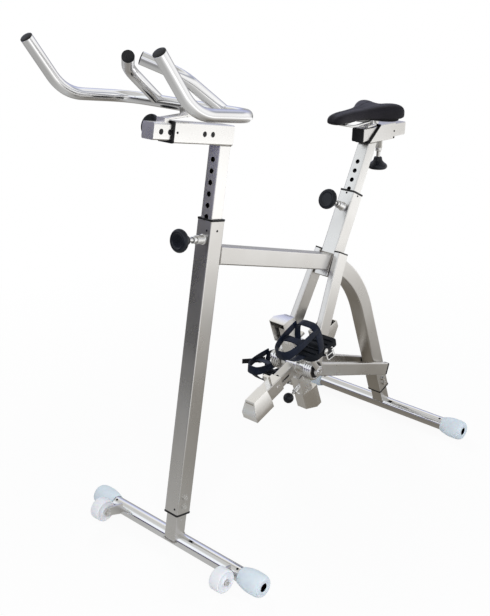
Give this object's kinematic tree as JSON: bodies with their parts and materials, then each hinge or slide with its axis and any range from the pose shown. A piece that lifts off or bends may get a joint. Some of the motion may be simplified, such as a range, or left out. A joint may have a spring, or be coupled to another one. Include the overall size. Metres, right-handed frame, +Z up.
{
  "type": "aqua bike",
  "caption": "Underwater exercise bike with a tube frame, telescoping handlebar and saddle posts, a crank-driven paddle wheel, strapped pedals and rolling feet.",
  "frame": {"origin": "centre of the footprint at floor level, on the lengthwise middle plane", "axes": "+X towards the saddle and rear foot, -X towards the handlebar; +Y to the rider's right; +Z up"},
  "size_m": [1.2082, 0.65, 1.3911],
  "materials": {
    "satin_steel": "satin blasted stainless steel, warm light grey",
    "polished_steel": "mirror polished stainless steel tube",
    "bolt_steel": "plain stainless steel, lightly marked",
    "black_plastic": "moulded black nylon, faintly grained",
    "knob_plastic": "black moulded knob on a bright steel stem",
    "pedal_plastic": "black moulded nylon with raised ribs",
    "cap_rubber": "pale blue-white soft rubber",
    "wheel_nylon": "white turned nylon",
    "strap_rubber": "navy blue moulded rubber",
    "saddle_leather": "black imitation leather with a soft sheen"
  },
  "bodies": {
    "frame": {"front_foot": "polished_steel", "rear_foot": "polished_steel", "front_cap_left": "cap_rubber", "front_cap_right": "cap_rubber", "rear_cap_left": "cap_rubber", "rear_cap_right": "cap_rubber", "wheel_bolt_left": "bolt_steel", "wheel_bolt_right": "bolt_steel", "front_post": "satin_steel", "front_post_foot_bush": "black_plastic", "front_post_top_bush": "black_plastic", "main_tube": "satin_steel", "seat_tube": "satin_steel", "seat_tube_bush": "black_plastic", "rear_arch": "satin_steel", "rear_arch_bush": "black_plastic", "front_bolt_1": "bolt_steel", "front_bolt_2": "bolt_steel", "rear_bolt_1": "bolt_steel", "rear_bolt_2": "bolt_steel", "strut_left": "satin_steel", "strut_right": "satin_steel", "strut_cap_left": "black_plastic", "strut_cap_right": "black_plastic", "chain_stay_left": "satin_steel", "chain_stay_right": "satin_steel"},
    "handlebar_mast": {"handlebar_post": "satin_steel", "handlebar_sleeve_bush": "black_plastic"},
    "handlebar_carriage": {"handlebar_slider": "satin_steel", "handlebar": "polished_steel", "outer_horn_cap_left": "black_plastic", "outer_horn_cap_right": "black_plastic", "inner_horn_cap_left": "black_plastic", "inner_horn_cap_right": "black_plastic"},
    "seat_mast": {"seat_post": "satin_steel", "seat_sleeve_bush": "black_plastic"},
    "seat_carriage": {"seat_slider": "satin_steel", "seat_slider_plug": "black_plastic", "saddle_clamp": "bolt_steel", "saddle_rails": "bolt_steel", "saddle_base": "black_plastic", "saddle_cover": "saddle_leather"},
    "paddle_wheel": {"paddle_cross": "satin_steel", "crank_left": "satin_steel", "crank_right": "satin_steel"},
    "blade_front": {"paddle_blade_front": "satin_steel"},
    "blade_top": {"paddle_blade_top": "satin_steel"},
    "blade_rear": {"paddle_blade_rear": "satin_steel"},
    "blade_low": {"paddle_blade_low": "satin_steel"},
    "blade_pin": {"paddle_lock_pin": "knob_plastic"},
    "pedal_left": {"pedal_left": "pedal_plastic", "foot_strap_left": "strap_rubber"},
    "pedal_right": {"pedal_right": "pedal_plastic", "foot_strap_right": "strap_rubber"},
    "wheel_left": {"transport_wheel_left": "wheel_nylon"},
    "wheel_right": {"transport_wheel_right": "wheel_nylon"},
    "front_lock": {"front_lock_knob": "knob_plastic"},
    "reach_lock": {"reach_lock_knob": "knob_plastic"},
    "seat_lock": {"seat_lock_knob": "knob_plastic"},
    "saddle_lock": {"saddle_lock_knob": "knob_plastic"}
  },
  "joints": [
    {"name": "handlebar_height", "type": "slide", "parent": "frame", "child": "handlebar_mast", "axis": [0.2284, 0, 0.9736], "range_m": [-0.145, 0.087]},
    {"name": "handlebar_reach", "type": "slide", "parent": "handlebar_mast", "child": "handlebar_carriage", "axis": [-0.9736, 0, 0.2284], "range_m": [0, 0.0852]},
    {"name": "saddle_height", "type": "slide", "parent": "frame", "child": "seat_mast", "axis": [0.4924, 0, 0.8704], "range_m": [-0.1132, 0.0849]},
    {"name": "saddle_reach", "type": "slide", "parent": "seat_mast", "child": "seat_carriage", "axis": [-0.9965, 0, 0.0837], "range_m": [0, 0.0568]},
    {"name": "crank_spin", "type": "hinge", "parent": "frame", "child": "paddle_wheel", "pos_m": [0.08628, 0, 0.362], "axis": [0, -1, 0], "continuous": true},
    {"name": "blade_front_pull", "type": "slide", "parent": "paddle_wheel", "child": "blade_front", "axis": [-0.9537, 0, -0.3007], "range_m": [-0.048, 0]},
    {"name": "blade_top_pull", "type": "slide", "parent": "paddle_wheel", "child": "blade_top", "axis": [-0.3007, 0, 0.9537], "range_m": [0, 0.048]},
    {"name": "blade_rear_pull", "type": "slide", "parent": "paddle_wheel", "child": "blade_rear", "axis": [0.9537, 0, 0.3007], "range_m": [0, 0.048]},
    {"name": "blade_low_pull", "type": "slide", "parent": "paddle_wheel", "child": "blade_low", "axis": [0.3007, 0, -0.9537], "range_m": [0, 0.048]},
    {"name": "blade_pin_travel", "type": "slide", "parent": "blade_low", "child": "blade_pin", "axis": [0.9537, 0, 0.3007], "range_m": [0, 0.01]},
    {"name": "pedal_left_spin", "type": "hinge", "parent": "paddle_wheel", "child": "pedal_left", "pos_m": [0.00349, -0.136, 0.48708], "axis": [0, 1, 0], "continuous": true},
    {"name": "pedal_right_spin", "type": "hinge", "parent": "paddle_wheel", "child": "pedal_right", "pos_m": [0.16908, 0.136, 0.23692], "axis": [0, 1, 0], "continuous": true},
    {"name": "wheel_left_spin", "type": "hinge", "parent": "frame", "child": "wheel_left", "pos_m": [-0.50972, -0.236, 0.051], "axis": [0, 1, 0], "continuous": true},
    {"name": "wheel_right_spin", "type": "hinge", "parent": "frame", "child": "wheel_right", "pos_m": [-0.50972, 0.236, 0.051], "axis": [0, 1, 0], "continuous": true},
    {"name": "front_lock_travel", "type": "slide", "parent": "frame", "child": "front_lock", "axis": [0.9736, 0, -0.2284], "range_m": [0, 0.01]},
    {"name": "seat_lock_travel", "type": "slide", "parent": "frame", "child": "seat_lock", "axis": [0.8704, 0, -0.4924], "range_m": [0, 0.01]},
    {"name": "reach_lock_travel", "type": "slide", "parent": "handlebar_mast", "child": "reach_lock", "axis": [0, -1, 0], "range_m": [0, 0.01]},
    {"name": "saddle_lock_travel", "type": "slide", "parent": "seat_mast", "child": "saddle_lock", "axis": [0.0837, 0, 0.9965], "range_m": [0, 0.01]}
  ]
}
